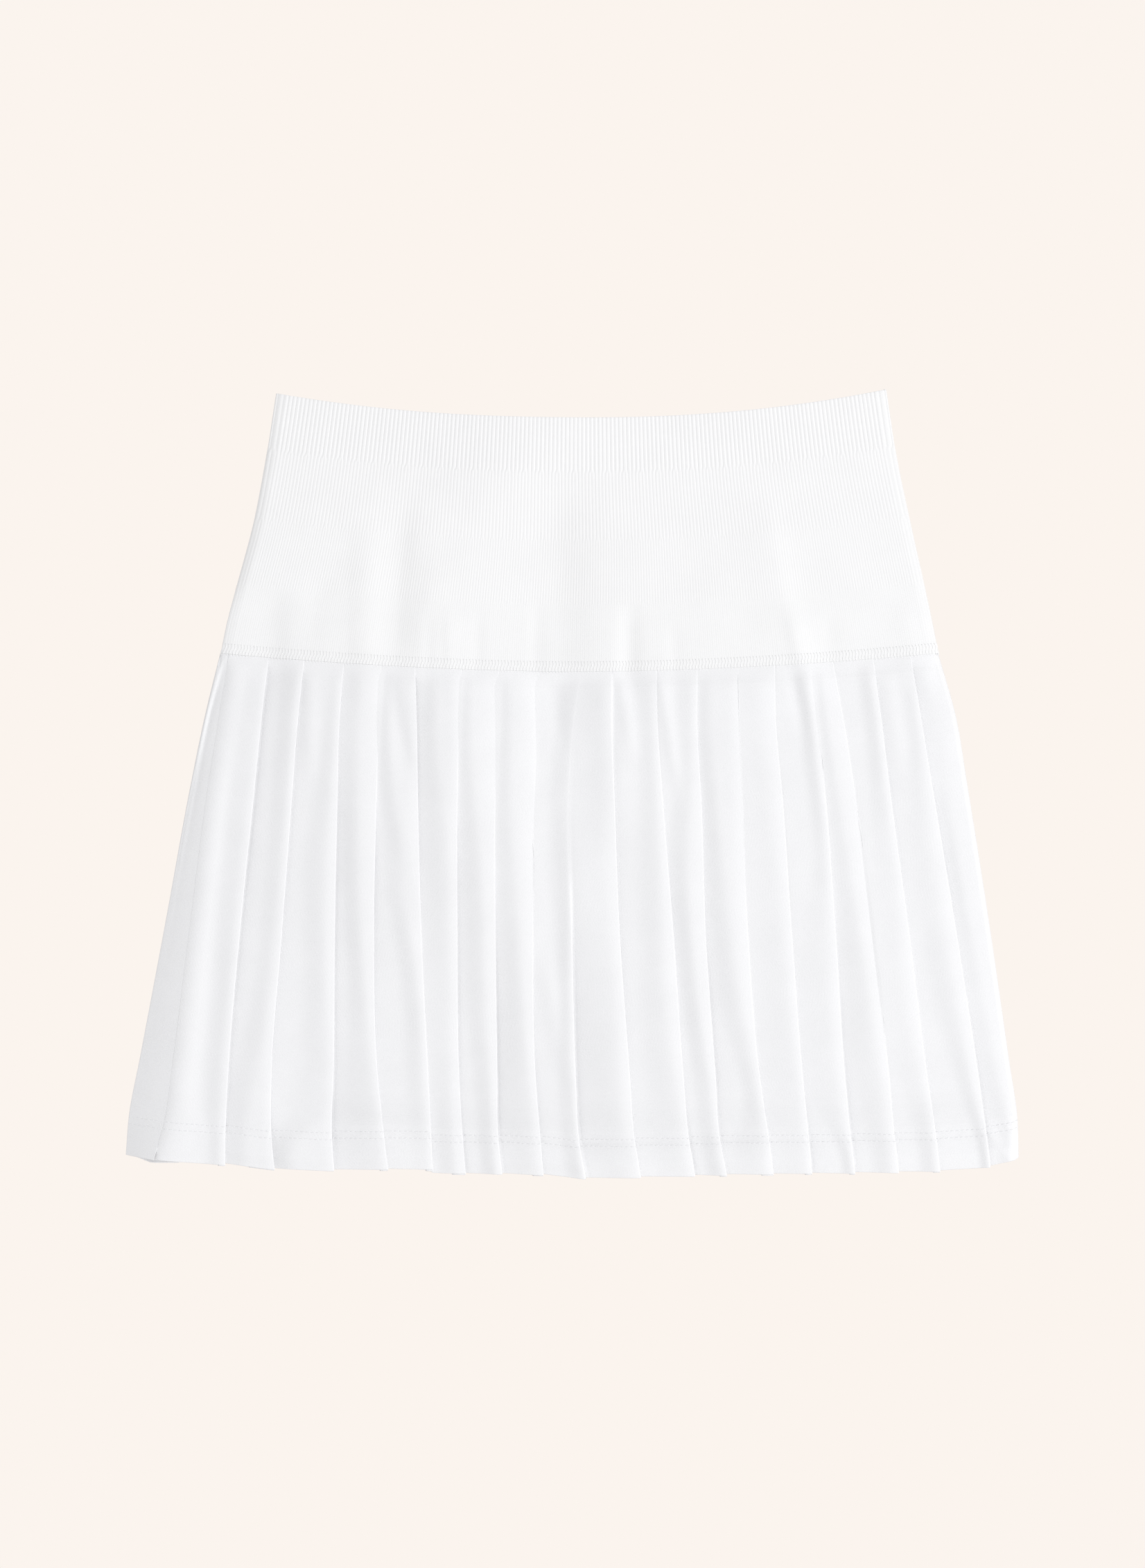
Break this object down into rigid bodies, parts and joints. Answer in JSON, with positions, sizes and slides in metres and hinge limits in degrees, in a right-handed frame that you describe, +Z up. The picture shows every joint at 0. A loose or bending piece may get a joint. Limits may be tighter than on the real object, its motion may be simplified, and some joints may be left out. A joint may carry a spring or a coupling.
{
  "type": "tennis skirt",
  "caption": "Pull-on tennis skirt laid flat: a seamless ribbed knit yoke whose ribs get finer towards the hip, over a knife-pleated skirt that flares to the hem.",
  "frame": {"origin": "on the surface that the skirt lies on, under the middle of its outline", "axes": "+Z up from the surface, +Y from the hem to the waist, +X to the right as the front is seen from above"},
  "size_m": [0.4891, 0.432, 0.0108],
  "materials": {
    "rib_knit": "matt white ribbed knit",
    "pleated_jersey": "matt white jersey, pressed in pleats"
  },
  "bodies": {
    "root": {"knit_yoke": "rib_knit", "skirt_front": "pleated_jersey", "skirt_back": "pleated_jersey"}
  },
  "joints": []
}
